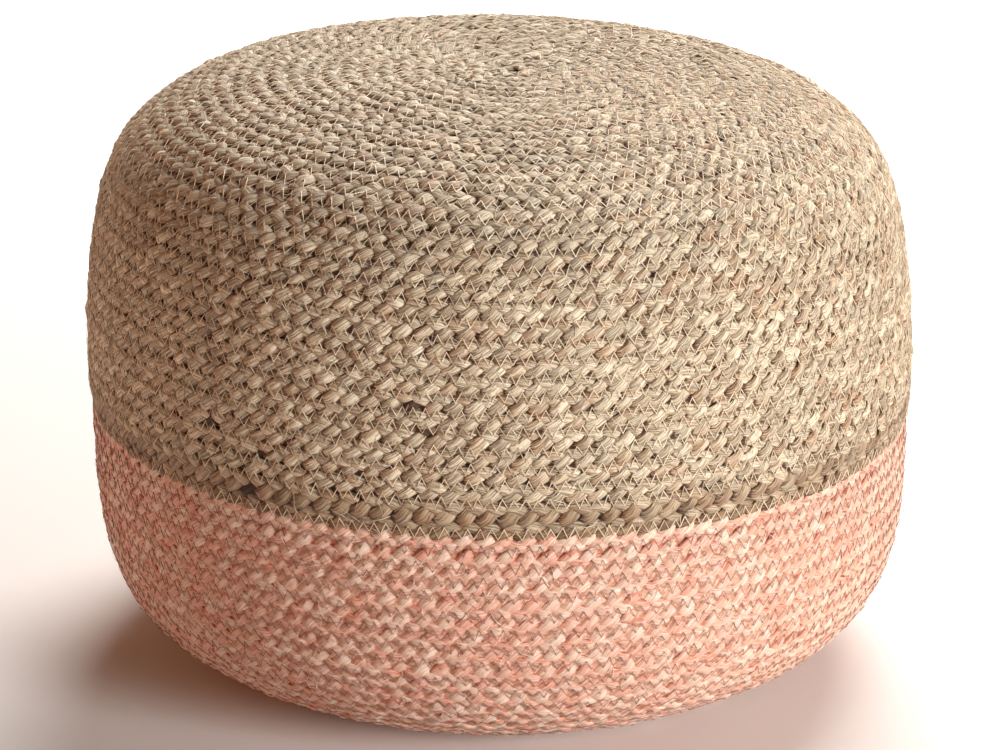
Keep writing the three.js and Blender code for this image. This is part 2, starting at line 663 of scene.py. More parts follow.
@dataclass(frozen=True)
class Braider:
    """Plaits three strands along the coil.

    Args:
        coil: The rows that the braid fills.
    """

    coil: Coil
    strands: int = 3
    period: float = 35.4 * MM  # length in which a strand comes back to the same place
    rings_each_lobe: int = 5  # rings of a strand in half a period, which is one lobe
    peak: float = math.radians(40)  # phase at which a lobe stands highest
    natural_middle: float = -0.08  # how far the plait's middle lies below the row's, as a share of the row
    coral_middle: float = 0.22
    half_width: float = 4.0 * MM
    half_depth: float = 1.9 * MM
    # Corners of a strand's section, from its lower side on: shares of the half width and half depth.
    section: tuple[tuple[float, float], ...] = (
        (1.0, -0.35),
        (0.7, 0.62),
        (0.0, 1.0),
        (-0.7, 0.62),
        (-1.0, -0.35),
    )
    sink: float = 3.0 * MM  # of the braid's middle below the outer form
    lift: float = 1.25 * MM  # how far a strand rises over the others
    flat_share: float = 0.85  # of the lift, in the dyed braid, which lies flatter
    crown_share: float = 0.55  # of the lift, at the crown's middle, which is sat flat
    crown_turns: float = 20.0  # over which the natural braid rises to its full lift
    edge_lift: float = 0.45 * MM  # how far a strand is already up at the row's edges
    slack_depth: float = 1.3 * MM  # of a strand in a hollow, which stays above the ground
    overhang: float = 0.115  # how far each row's lower edge stands out over the next, in radians
    overhang_turns: float = 3.0  # on either side of the seam, over which that grows from nothing
    swell_tilt: float = 0.07  # how far the rows' swell tilts them, in radians
    swell_lead: float = 0.37  # turns by which that tilt is ahead of the swell
    curl: float = 0.1  # how far a strand rolls over at the row's edges, in radians
    widening: float = 0.4  # how far a strand's width follows the width of its row
    steepest: float = math.radians(43)  # of a strand where it crosses its row
    tuck: float = 0.5  # share of a strand's half width that stays within its row
    narrowing: float = 0.05  # half the share of its width that a strand loses where it dives
    thinning: float = 0.14  # half the share of its depth that it loses there
    seed: int = 41
    # How far one lobe may differ from the next.
    uneven_rise: float = 0.22 * MM
    uneven_fat: float = 0.13
    uneven_depth: float = 0.14
    uneven_place: float = 0.5 * MM
    uneven_roll: float = 0.16
    rough_mm: float = 0.1  # of each single point, in millimetres
    nudge: Ripple = Ripple(0.9 * MM, (9.0, 17.0, 31.0), seed=31)
    fatness: Ripple = Ripple(0.06, (7.0, 13.0, 23.0), seed=32)
    tone: Ripple = Ripple(0.5, (5.0, 11.0, 19.0), seed=51)
    row_tone: Ripple = Ripple(0.5, (0.9, 2.3, 5.1), seed=52)
    tone_share: float = 0.7  # of the strand's own wander in its tone
    row_share: float = 0.3  # of the row's wander in it
    grey_and_shade_slope: float = 1.1  # how fast a row's grey tone and painted shade deepen towards its lower edge
    grey_and_shade_start: float = 0.25
    dive_start: float = 1.28  # with the next, sets where along a lobe the painted shade of its creases begins
    dive_span: float = 1.15
    pattern_step: float = 0.37  # between the fibre patterns of two strands

    @property
    def girth(self) -> float:
        """Distance round a strand, roughly."""
        return math.pi * (self.half_width + self.half_depth)

    @cached_property
    def around(self) -> np.ndarray:
        """Distance of each corner round a strand, back to the first one."""
        corners = np.array(self.section)
        outline = corners[[*range(len(corners)), 0]] * (self.half_width, self.half_depth)
        return np.concatenate([[0.0], np.cumsum(np.linalg.norm(np.diff(outline, axis=0), axis=1))])

    def rate(self, dye: Dye) -> float:
        """Phase for each unit of length, below zero in natural braid, which runs up the coil."""
        return (-1 if dye is Dye.NATURAL else 1) * FULL_TURN / self.period

    def off_middle(self, dye: Dye) -> float:
        """How far the plait's middle lies below the row's, as a share of the row."""
        return self.natural_middle if dye is Dye.NATURAL else self.coral_middle

    def relief(self, dye: Dye, turns: np.ndarray) -> np.ndarray | float:
        """How much of its full lift the braid has.

        Args:
            dye: The colour of the braid.
            turns: Where it is wanted.

        Returns:
            The share at each place, or one for them all.
        """
        if dye is Dye.CORAL:
            return self.flat_share
        return self.crown_share + (1 - self.crown_share) * smooth_step(turns / self.crown_turns)

    def ring_phases(self, stretch: BraidStretch, offset: float) -> np.ndarray:
        """Phases of a strand's rings over a stretch.

        Args:
            stretch: Where the strand runs.
            offset: How far its phase is behind that of the first strand.

        Returns:
            The phases, in the order in which the rings follow the coil.
        """
        rate = self.rate(stretch.dye)
        step = math.pi / self.rings_each_lobe
        ends = [self.coil.length_at(t) * rate - offset - self.peak for t in (stretch.first, stretch.last)]
        count = np.arange(math.ceil(min(ends) / step), math.floor(max(ends) / step) + 1)
        return self.peak + step * (count if rate > 0 else count[::-1])

    def sweep(
        self,
        centre: np.ndarray,
        normals: np.ndarray,
        wide: np.ndarray,
        deep: np.ndarray,
        roll: np.ndarray,
    ) -> np.ndarray:
        """Sweeps a strand's section along its middle.

        Args:
            centre: Points of the middle.
            normals: Outward normals of the form at each.
            wide: Half width at each.
            deep: Half depth at each.
            roll: How far the section is rolled over there, in radians.

        Returns:
            The rings' points.
        """
        ahead = unit(np.gradient(centre, axis=0))
        side = unit(np.cross(normals, ahead))
        top = np.cross(ahead, side)
        corners = np.array(self.section)
        flat, high = wide[:, None] * corners[:, 0], deep[:, None] * corners[:, 1]
        cos, sin = np.cos(roll)[:, None], np.sin(roll)[:, None]
        flat, high = flat * cos - high * sin, flat * sin + high * cos
        return centre[:, None] + side[:, None] * flat[..., None] + top[:, None] * high[..., None]

    def add_strand(self, mesh: TubeMesh, stretch: BraidStretch, strand: int) -> None:
        """Adds one of the three strands of a stretch to a mesh.

        Args:
            mesh: Where it goes.
            stretch: Where the strand runs.
            strand: Which of the three it is.
        """
        coil, form = self.coil, self.coil.form
        offset = FULL_TURN * strand / self.strands
        phase = self.ring_phases(stretch, offset)
        lobe = np.floor((phase - self.peak) / math.pi + 0.5).astype(int)
        rng = np.random.default_rng([self.seed, int(stretch.last * 10), strand])
        rolls = rng.uniform(-1, 1, (np.ptp(lobe) + 1, 5))[lobe - lobe.min()]
        raised, fattened, deepened, shifted, rolled = rolls.T
        rate = self.rate(stretch.dye)
        length = (phase + offset) / rate
        length = length + self.nudge.at(length, strand) + self.uneven_place * shifted
        turns = coil.turns_at(length)
        azimuth = coil.azimuth(turns)

        # Where the strand may lie in its row, and how the row is tilted.
        inner, outer = coil.edge(turns, 0), coil.edge(turns, 1)
        centred = coil.shape(turns, "centre") + self.off_middle(stretch.dye)
        middle = inner + (outer - inner) * centred
        lower = 0.5 + 0.5 * np.sin(phase)
        upper_half = middle - inner + coil.shape(turns, "lap")
        lower_half = outer - middle + coil.shape(turns, "spill")
        half_row = upper_half * (1 - lower) + lower_half * lower
        fit = half_row / (coil.row_width / 2)
        relief = self.relief(stretch.dye, turns)
        swollen = self.swell_tilt * coil.swell.at(turns + self.swell_lead) / coil.swell.amplitude
        from_seam = np.minimum(1.0, np.abs(turns - coil.natural_rows) / self.overhang_turns)
        tilt = coil.shape(turns, "tilt") + swollen - self.overhang * relief * from_seam
        proud = coil.shape(turns, "proud") + coil.swell.at(turns) - self.sink

        # How wide and deep the strand is: leaf is 1 where it lies on top and -1 where it dives.
        leaf = np.cos(2 * (phase - self.peak))
        fat = 1 + self.fatness.at(length, strand) + self.uneven_fat * fattened
        wide = self.half_width * fit**self.widening
        widest = math.tan(self.steepest) * self.period / FULL_TURN
        swing = np.minimum(half_row - self.tuck * wide, widest) * np.sin(phase)
        wide = wide * fat * (1 - self.narrowing + self.narrowing * leaf)
        deep = self.half_depth * fat * (1 - self.thinning + self.thinning * leaf)
        deep = deep * (1 + self.uneven_depth * deepened)

        # How high it rises: blunt is leaf with broader tops.
        top_phase = self.peak + math.pi * lobe
        slack = coil.slack((top_phase + offset) / rate, np.sin(top_phase), self.period / 6)
        blunt = leaf * (1.5 - 0.5 * leaf**2)
        rise = self.lift * relief * np.sqrt(np.minimum(fit, 1.0)) * blunt
        rise = rise + self.edge_lift * np.sin(phase) ** 2
        rise = rise + self.uneven_rise * raised - self.slack_depth * slack
        across = swing * np.cos(tilt) + rise * np.sin(tilt)
        stand = proud + rise * np.cos(tilt) - swing * np.sin(tilt)
        centre = form.surface(middle + across, azimuth, stand)
        roll = self.uneven_roll * rolled + self.curl * np.sin(phase)
        points = self.sweep(centre, form.normal(middle + across, azimuth), wide, deep, roll)
        points += rng.uniform(-self.rough_mm, self.rough_mm, points.shape) * MM

        # Exposed is low on a strand's sides and where it dives, which get painted crease shade, and highest
        # along its top.
        outward = 0.5 + 0.5 * np.array(self.section)[:, 1]
        tone = 0.5 + self.tone.at(length, strand) * self.tone_share
        tone = tone + self.row_tone.at(turns) * self.row_share
        dusk = coil.shape(turns, "dusk") * smooth_step(lower * self.grey_and_shade_slope + self.grey_and_shade_start)
        values = {
            "exposed": outward * smooth_step((leaf + self.dive_start) / self.dive_span)[:, None],
            "inward": 0.5 + 0.5 * np.cos(2 * phase)[:, None],
            "lobe": (raised[:, None] + 1) / 2,
            "hue": (rolled[:, None] + 1) / 2,
            "tone": tone[:, None],
            "strand": np.full((1, 1), self.pattern_step * strand + stretch.first),
            "dusk": dusk[:, None],
            "slack": slack[:, None],
        }
        mesh.add_tube(above_floor(points), length, self.around, values)

    def plait(self, stretch: BraidStretch) -> bpy.types.Object:
        """Makes the braid of one stretch.

        Args:
            stretch: Where it runs.

        Returns:
            The piece.
        """
        mesh = TubeMesh()
        for strand in range(self.strands):
            self.add_strand(mesh, stretch, strand)
        return mesh.build(stretch.name, len(self.section), self.girth)


@dataclass(frozen=True)
class Surface:
    """What a ray meets: the pieces that thread and fibres lie on.

    Args:
        form: The pouf's form, which tells where outside is.
        trees: One search tree for each piece.
    """

    form: StuffedForm
    trees: tuple[BVHTree, ...]
    start: float = 14 * MM  # height over the form from which the rays are cast
    fallback: float = -2.5 * MM  # height that is taken where they meet nothing

    @classmethod
    def of(cls, form: StuffedForm, pieces: list[bpy.types.Object]) -> Surface:
        """The surface of some pieces."""
        graph = bpy.context.evaluated_depsgraph_get()
        return cls(form, tuple(BVHTree.FromObject(piece, graph) for piece in pieces))

    def proud(self, distance: np.ndarray, azimuth: np.ndarray) -> np.ndarray:
        """How far the pieces stand out of the form at each place.

        Args:
            distance: Distance from the coil's middle, over the form.
            azimuth: Angle round it.

        Returns:
            The heights, in metres.
        """
        outside = self.form.surface(distance, azimuth, np.full_like(distance, self.start))
        below = self.form.surface(distance, azimuth, np.full_like(distance, self.fallback))
        rays = unit(below - outside)
        depth = np.full(len(distance), self.start - self.fallback)
        for i, (origin, ray) in enumerate(zip(outside.tolist(), rays.tolist())):
            for tree in self.trees:
                place, _, _, reach = tree.ray_cast(origin, ray, depth[i])
                if place is not None:
                    depth[i] = reach
        return self.start - depth


def round_rings(
    path: np.ndarray,
    radius: np.ndarray,
    sides: int,
    hint: np.ndarray,
    least_square: float = 0.42,
) -> np.ndarray:
    """Rings of a round tube.

    Args:
        path: Points that it follows.
        radius: Its radius at each.
        sides: Corners of a ring.
        hint: Rough outward direction at each point, which keeps the rings from turning.
        least_square: Limits how far a ring at a sharp corner is drawn out.

    Returns:
        The ring points.
    """
    ahead = unit(np.gradient(path, axis=0))
    side = unit(np.cross(hint, ahead))
    top = np.cross(ahead, side)
    # Rings at sharp corners are drawn out sideways, so that the legs keep their full thickness.
    legs = unit(np.diff(path, axis=0))
    square = np.abs((ahead[1:] * legs).sum(axis=-1))
    side = side / np.clip(np.append(square[:1], square), least_square, 1.0)[:, None]
    angle = FULL_TURN * np.arange(sides) / sides - math.pi / 2
    spoke = side[:, None] * np.cos(angle)[None, :, None] + top[:, None] * np.sin(angle)[None, :, None]
    return path[:, None] + spoke * radius[:, None, None]


@dataclass(frozen=True)
class ZigzagThread:
    """The thread that sews each row to the one before.

    Args:
        name: The piece's name.
        coil: The rows.
        first: Turns where it starts.
        last: Turns where it ends.
        radius: The thread's radius.
    """

    name: str
    coil: Coil
    first: float
    last: float
    radius: float
    leg_pitch: float = 3.3 * MM
    uneven_pitch: float = 0.13  # share of it by which a stitch may be out of place
    bite: float = 3.2 * MM  # of each stitch into the rows on either side
    uneven_bite: float = 0.16  # share of it
    rest: float = 0.6  # of its radius, how far its middle stays above the strands
    tested: tuple[float, ...] = (0.25, 0.5, 0.75)  # shares of a leg at which it has to clear them
    sides: int = 3
    measures: int = 30000  # places at which the row's length is measured
    seed: int = 61

    def sew(self, surface: Surface) -> bpy.types.Object:
        """Lays the thread on the braid.

        Args:
            surface: What it lies on.

        Returns:
            The piece.
        """
        coil = self.coil
        fine = np.linspace(self.first, self.last, self.measures)
        radius = coil.form.look_up("radius", coil.edge(fine, 0))
        lengths = np.concatenate([[0.0], np.cumsum(radius[1:] * FULL_TURN * np.diff(fine))])
        rng = np.random.default_rng([self.seed, int(self.first * 10)])
        count = int(lengths[-1] / self.leg_pitch)
        order = np.arange(count)
        at = (order + rng.uniform(-self.uneven_pitch, self.uneven_pitch, count)) * self.leg_pitch
        turns = np.interp(at, lengths, fine)
        bite = self.bite * (1 + rng.uniform(-self.uneven_bite, self.uneven_bite, count))
        place, azimuth = coil.edge(turns, 0) + bite * (1 - 2 * (order % 2)), coil.azimuth(turns)
        proud = surface.proud(place, azimuth)
        lack = np.zeros(count - 1)
        for share in self.tested:
            between = [a[:-1] * (1 - share) + a[1:] * share for a in (place, azimuth, proud)]
            lack = np.maximum(lack, surface.proud(*between[:2]) - between[2])
        # A taut leg bridges the hollows, so both its ends rise until it clears the strands.
        proud += np.maximum(np.append(lack, 0.0), np.append(0.0, lack)) + self.rest * self.radius
        path = coil.form.surface(place, azimuth, proud)
        rings = round_rings(path, np.full(count, self.radius), self.sides, coil.form.normal(place, azimuth))
        mesh = TubeMesh()
        around = np.linspace(0, FULL_TURN * self.radius, self.sides + 1)
        tone = rng.uniform(0, 1, (count, 1))
        mesh.add_tube(above_floor(rings), at, around, {"lobe": tone})
        return mesh.build(self.name, self.sides, FULL_TURN * self.radius)


@dataclass(frozen=True)
class LooseFibres:
    """Fine fibres that have worked loose from the strands.

    Args:
        name: The piece's name.
        form: The pouf's form.
        first: Distance from the coil's middle where they start.
        last: Distance where they end.
        count: How many there are.
        seed: Chooses their places and bends.
    """

    name: str
    form: StuffedForm
    first: float
    last: float
    count: int
    seed: int
    shortest: float = 5 * MM
    longest: float = 22 * MM
    radius: float = 0.13 * MM
    stoutness: tuple[float, float] = (0.7, 1.9)  # least and most of that radius
    taper: float = 0.5  # share of its radius that a fibre loses towards its tip
    heading_spread: float = 0.9  # in radians, from along the row
    bend_spread: float = 1.3  # in radians, from root to tip
    lift: float = 2.4 * MM  # of the tip of a fibre that stands right up
    arch: float = 0.1  # share of it that the middle of every fibre has
    pale_power: float = 0.7  # below 1, more of them are pale
    rings: int = 4
    sides: int = 3
    measures: int = 2000  # places at which the form's area is measured
    least_radius: float = 12 * MM  # keeps fibres by the axis from winding round it
    end_gap: float = 1 * MM  # that they keep from the base's centre
    shared_seed: int = 71  # the same for every piece of fibres

    def scatter(self, surface: Surface) -> bpy.types.Object:
        """Lays the fibres over the braid.

        Args:
            surface: What they lie on.

        Returns:
            The piece.
        """
        rng = np.random.default_rng([self.shared_seed, self.seed])
        fine = np.linspace(self.first, self.last, self.measures)
        area = np.cumsum(self.form.look_up("radius", fine))
        start = np.interp(rng.uniform(0, 1, self.count), area / area[-1], fine)
        azimuth = rng.uniform(0, FULL_TURN, self.count)
        length = self.shortest + (self.longest - self.shortest) * rng.uniform(0, 1, self.count) ** 2
        heading = rng.normal(0, self.heading_spread, self.count) + rng.choice([0.0, math.pi], self.count)
        bend = rng.normal(0, self.bend_spread, self.count)
        step = np.linspace(0, 1, 2 * self.rings - 1)
        turned = heading[:, None] + bend[:, None] * (step[None] - 0.5)
        ahead = np.cumsum(np.cos(turned), 1) / len(step) * length[:, None]
        across = np.cumsum(np.sin(turned), 1) / len(step) * length[:, None]
        radius = np.maximum(self.form.look_up("radius", start), self.least_radius)
        places = np.minimum(np.abs(start[:, None] + across), self.form.length - self.end_gap)
        angles = azimuth[:, None] + ahead / radius[:, None]
        proud = surface.proud(places.ravel(), angles.ravel()).reshape(places.shape)
        # A fibre bridges creases and clears the strands between its rings.
        lack = np.maximum(0.0, proud[:, 1::2] - (proud[:, :-2:2] + proud[:, 2::2]) / 2)
        step, places, angles, proud = step[::2], places[:, ::2], angles[:, ::2], proud[:, ::2]
        proud = proud + np.maximum(np.pad(lack, ((0, 0), (1, 0))), np.pad(lack, ((0, 0), (0, 1))))
        proud[:, 1:-1] = np.maximum(proud[:, 1:-1], (proud[:, :-2] + proud[:, 2:]) / 2)
        # Few fibres stand right up, because of the power that thins them out.
        free = rng.uniform(0, 1, (self.count, 1)) ** 3
        arch = free * step[None] ** 1.5 + self.arch * np.sin(math.pi * step)[None]
        proud += self.lift * arch + self.radius
        paths = self.form.surface(places, angles, proud)
        normals = self.form.normal(places, angles)
        mesh = TubeMesh()
        taper = self.radius * (1 - self.taper * step)
        around = np.linspace(0, FULL_TURN * self.radius, self.sides + 1)
        tones = rng.uniform(0, 1, self.count) ** self.pale_power
        thick = rng.uniform(*self.stoutness, self.count)
        for path, normal, tone, reach, stout in zip(paths, normals, tones, length, thick):
            rings = round_rings(path, taper * stout, self.sides, normal)
            mesh.add_tube(above_floor(rings), step * reach, around, {"lobe": np.full((1, 1), tone)})
        return mesh.build(self.name, self.sides, FULL_TURN * self.radius)


@dataclass(frozen=True)
class Filling:
    """The stuffed body of one bowl, which shows only as ground between the strands, darkened there with
    painted shade.

    Args:
        name: The piece's name.
        form: The pouf's form.
        first: Distance from the coil's middle where it starts.
        last: Distance where it ends.
        inset: How far it lies below the form.
    """

    name: str
    form: StuffedForm
    first: float
    last: float
    inset: float
    seam_inset: float = 4.2 * MM  # more of it at the seam
    seam_reach: float = 14 * MM  # distance over which that fades
    segments: int = 96
    rows: int = 44

    def build(self) -> bpy.types.Object:
        """Makes the closed body.

        Returns:
            The piece.
        """
        distance = np.linspace(self.first, self.last, self.rows)
        azimuth = np.linspace(0, FULL_TURN, self.segments, endpoint=False)
        near = np.exp(-(((distance - self.form.seam_distance) / self.seam_reach) ** 2))
        proud = -self.inset - self.seam_inset * near
        shape = (self.rows, self.segments)
        places = [np.broadcast_to(a, shape) for a in (distance[:, None], azimuth[None], proud[:, None])]
        rings = self.form.surface(*places)
        girth = FULL_TURN * self.form.width / 2
        mesh = TubeMesh()
        mesh.add_tube(above_floor(rings), distance, np.linspace(0, girth, self.segments + 1), {})
        return mesh.build(self.name, self.segments, girth)


@dataclass(frozen=True)
class Ease:
    """How a value is eased from one range to another.

    Args:
        low: Where it starts.
        high: Where it ends, which may be lower.
        start: What it gives up to there.
        end: What it gives from there on.
    """

    low: float
    high: float
    start: float = 0.0
    end: float = 1.0


@dataclass
class Nodes:
    """Short ways to lay and join shader nodes.

    Args:
        tree: The node tree that they go in.
    """

    tree: bpy.types.NodeTree

    def add(self, kind: str, **settings: object) -> bpy.types.Node:
        """A new node.

        Args:
            kind: Its type.
            **settings: Some of its settings.

        Returns:
            The node.
        """
        node = self.tree.nodes.new(kind)
        for key, value in settings.items():
            setattr(node, key, value)
        return node

    def feed(self, socket: bpy.types.NodeSocket, source: object) -> None:
        """Sets a socket.

        Args:
            socket: The socket.
            source: Another socket, a number or a colour.
        """
        if isinstance(source, bpy.types.NodeSocket):
            self.tree.links.new(source, socket)
        elif isinstance(source, tuple) and socket.type == "RGBA":
            socket.default_value = (*source, 1.0)
        else:
            socket.default_value = source

    def math(self, operation: str, *values: object) -> bpy.types.NodeSocket:
        """The result of some arithmetic.

        Args:
            operation: What is done.
            *values: What it is done with.

        Returns:
            The result's socket.
        """
        node = self.add("ShaderNodeMath", operation=operation)
        for socket, value in zip(node.inputs, values):
            self.feed(socket, value)
        return node.outputs[0]

    def mix(self, factor: object, under: object, over: object, blend: str = "MIX") -> bpy.types.NodeSocket:
        """One colour mixed with another.

        Args:
            factor: How strongly the second shows.
            under: The first colour.
            over: The second colour.
            blend: How it is laid over the first.

        Returns:
            The colour's socket.
        """
        node = self.add("ShaderNodeMix", data_type="RGBA", blend_type=blend)
        self.feed(node.inputs["Factor"], factor)
        self.feed(node.inputs[6], under)
        self.feed(node.inputs[7], over)
        return node.outputs[2]

    def span(self, value: object, ease: Ease) -> bpy.types.NodeSocket:
        """An eased value.

        Args:
            value: What is eased.
            ease: How.

        Returns:
            The result's socket.
        """
        node = self.add("ShaderNodeMapRange", interpolation_type="SMOOTHSTEP", clamp=True)
        bounds = {"From Min": ease.low, "From Max": ease.high, "To Min": ease.start, "To Max": ease.end}
        for name, number in bounds.items():
            node.inputs[name].default_value = number
        self.feed(node.inputs["Value"], value)
        return node.outputs["Result"]

    def noise(self, vector: object, scale: float, detail: float) -> bpy.types.NodeSocket:
        """A noise value.

        Args:
            vector: Where it is read.
            scale: How fine it is.
            detail: How many finer layers it has.

        Returns:
            The value's socket.
        """
        node = self.add("ShaderNodeTexNoise")
        self.feed(node.inputs["Vector"], vector)
        self.feed(node.inputs["Scale"], scale)
        self.feed(node.inputs["Detail"], detail)
        return node.outputs["Fac"]

    def attribute(self, name: str) -> bpy.types.NodeSocket:
        """A value stored on the mesh."""
        return self.add("ShaderNodeAttribute", attribute_name=name).outputs["Fac"]

    def xyz(self, *parts: object) -> bpy.types.NodeSocket:
        """A vector.

        Args:
            *parts: Its three parts.

        Returns:
            The vector's socket.
        """
        node = self.add("ShaderNodeCombineXYZ")
        for socket, value in zip(node.inputs, parts):
            self.feed(socket, value)
        return node.outputs[0]

    def bump(self, height: object, distance: float, strength: float = 1.0) -> bpy.types.NodeSocket:
        """A normal that follows a height.

        Args:
            height: The height, from 0 to 1.
            distance: How high 1 is.
            strength: How strongly it shows.

        Returns:
            The normal's socket.
        """
        node = self.add("ShaderNodeBump")
        self.feed(node.inputs["Strength"], strength)
        self.feed(node.inputs["Distance"], distance)
        self.feed(node.inputs["Height"], height)
        return node.outputs[0]

    def group(self, tree: bpy.types.NodeTree, **values: object) -> bpy.types.Node:
        """A shader group placed in this tree.

        Args:
            tree: The group.
            **values: What its inputs get, by name, with underscores for spaces.

        Returns:
            Its node.
        """
        node = self.add("ShaderNodeGroup", node_tree=tree)
        for key, value in values.items():
            self.feed(node.inputs[key.replace("_", " ")], value)
        return node


Sockets = dict[str, bpy.types.NodeSocket]


def new_group(name: str, inputs: dict[str, str], outputs: dict[str, str]) -> tuple[Nodes, Sockets, Sockets]:
    """Starts a shader group.

    Args:
        name: The group's name.
        inputs: Each input's kind of socket.
        outputs: Each output's kind of socket.

    Returns:
        Its nodes, the sockets that its inputs come from, and those that its outputs go to.
    """
    tree = bpy.data.node_groups.new(name, "ShaderNodeTree")
    for side, kinds in (("INPUT", inputs), ("OUTPUT", outputs)):
        for key, kind in kinds.items():
            tree.interface.new_socket(name=key, in_out=side, socket_type=f"NodeSocket{kind}")
    nodes = Nodes(tree)
    entry, leave = nodes.add("NodeGroupInput"), nodes.add("NodeGroupOutput")
    return nodes, {k: entry.outputs[k] for k in inputs}, {k: leave.inputs[k] for k in outputs}


@dataclass(frozen=True)
class Streak:
    """A noise drawn out along a strand.

    Args:
        length: How long its blotches are.
        width: How wide they are.
        shift: Sets it apart from the other noises.
        detail: How many finer layers it has.
    """

    length: float
    width: float
    shift: float
    detail: float


@dataclass(frozen=True)
class FibreGroup:
    """Shader group that draws the fibres of a strand along its own map."""

    twist: float = 0.22  # how far the fibres turn round the strand, for each unit along it
    strand_step: float = 13.7  # sets one strand's noises apart from the next one's
    bundles: Streak = Streak(14 * MM, 1.3 * MM, 0.0, 3.0)
    hairs: Streak = Streak(10 * MM, 0.62 * MM, 31.0, 2.0)
    patch: Streak = Streak(34 * MM, 6.5 * MM, 67.0, 2.0)
    bleach: Streak = Streak(23.8 * MM, 5.2 * MM, 97.0, 2.0)
    parting: Streak = Streak(16 * MM, 1.5 * MM, 151.0, 1.0)
    parted_at: float = 0.5  # value of the parting noise where the strand splits
    split: Ease = Ease(0.035, 0.0)  # from the distance to that value
    # What each adds to the height of the strand's bump.
    bundle_height: float = 0.9
    hair_height: float = 0.5
    split_height: float = -0.35

    @cached_property
    def tree(self) -> bpy.types.NodeTree:
        """The group, made once."""
        names = (*DRAWN, "Height")
        kinds = dict.fromkeys(names, "Float")
        nodes, entry, leave = new_group("jute_fibres", {"Map": "Vector", "Strand": "Float"}, kinds)
        place = nodes.add("ShaderNodeSeparateXYZ")
        nodes.feed(place.inputs[0], entry["Map"])
        along, around = place.outputs[0], place.outputs[1]
        turned = nodes.math("MULTIPLY_ADD", along, self.twist, around)
        strand = nodes.math("MULTIPLY", entry["Strand"], self.strand_step)

        def drawn(streak: Streak) -> bpy.types.NodeSocket:
            """The noise of a streak.

            Args:
                streak: Its sizes.

            Returns:
                The value's socket.
            """
            x = nodes.math("MULTIPLY", along, 1 / streak.length)
            y = nodes.math("MULTIPLY", turned, 1 / streak.width)
            z = nodes.math("ADD", strand, streak.shift)
            return nodes.noise(nodes.xyz(x, y, z), 1.0, streak.detail)

        bundles, hairs, patch = drawn(self.bundles), drawn(self.hairs), drawn(self.patch)
        bleach, parting = drawn(self.bleach), drawn(self.parting)
        away = nodes.math("ABSOLUTE", nodes.math("SUBTRACT", parting, self.parted_at))
        splits = nodes.span(away, self.split)
        height = nodes.math("MULTIPLY", bundles, self.bundle_height)
        height = nodes.math("MULTIPLY_ADD", hairs, self.hair_height, height)
        height = nodes.math("MULTIPLY_ADD", splits, self.split_height, height)
        for name, value in zip(names, (bundles, hairs, splits, patch, bleach, height)):
            nodes.feed(leave[name], value)
        return nodes.tree


